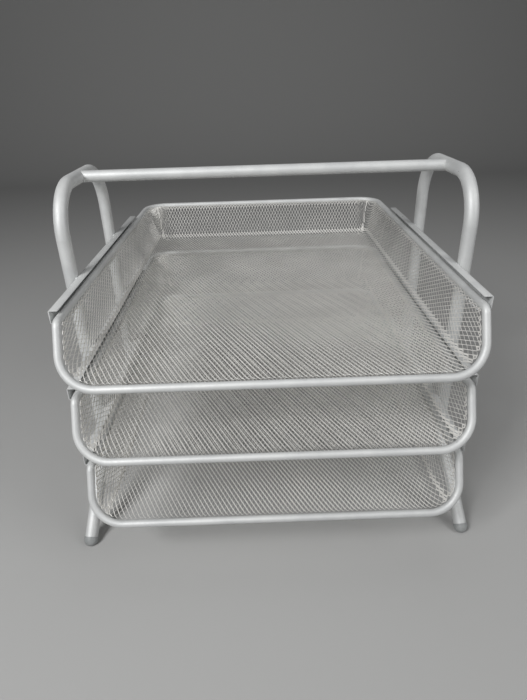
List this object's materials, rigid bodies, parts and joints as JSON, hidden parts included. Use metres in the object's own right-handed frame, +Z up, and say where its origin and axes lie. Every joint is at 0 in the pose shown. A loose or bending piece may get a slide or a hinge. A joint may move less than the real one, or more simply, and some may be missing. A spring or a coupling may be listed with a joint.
{
  "type": "letter tray",
  "caption": "Tiered letter tray: bent tube side frames with channel rails, a handle bar across the top and sliding wire-rimmed mesh trays that hold paper.",
  "frame": {"origin": "on the desk, under the middle of the overall box", "axes": "+Z up, -Y the open front that the trays pull out of, +X to the right seen from the front"},
  "size_m": [0.3112, 0.345, 0.2725],
  "materials": {
    "silver_paint": "satin silver paint on steel",
    "mesh_paint": "satin silver paint on expanded steel mesh",
    "foot_plastic": "matte grey plastic",
    "screw_steel": "plated steel"
  },
  "bodies": {
    "frame": {"left_side_frame": "silver_paint", "right_side_frame": "silver_paint", "left_front_foot_cap": "foot_plastic", "left_rear_foot_cap": "foot_plastic", "right_front_foot_cap": "foot_plastic", "right_rear_foot_cap": "foot_plastic", "handle_bar": "silver_paint", "left_bar_plug": "screw_steel", "right_bar_plug": "screw_steel", "left_bar_screw": "screw_steel", "right_bar_screw": "screw_steel", "left_top_rail": "silver_paint", "left_middle_rail": "silver_paint", "left_bottom_rail": "silver_paint", "right_top_rail": "silver_paint", "right_middle_rail": "silver_paint", "right_bottom_rail": "silver_paint"},
    "top_tray": {"top_tray_rim": "silver_paint", "top_tray_pan": "mesh_paint"},
    "middle_tray": {"middle_tray_rim": "silver_paint", "middle_tray_pan": "mesh_paint"},
    "bottom_tray": {"bottom_tray_rim": "silver_paint", "bottom_tray_pan": "mesh_paint"}
  },
  "joints": [
    {"name": "top_tray_slide", "type": "slide", "parent": "frame", "child": "top_tray", "axis": [0, -1, 0], "range_m": [0, 0.2]},
    {"name": "middle_tray_slide", "type": "slide", "parent": "frame", "child": "middle_tray", "axis": [0, -1, 0], "range_m": [0, 0.2]},
    {"name": "bottom_tray_slide", "type": "slide", "parent": "frame", "child": "bottom_tray", "axis": [0, -1, 0], "range_m": [0, 0.2]}
  ]
}
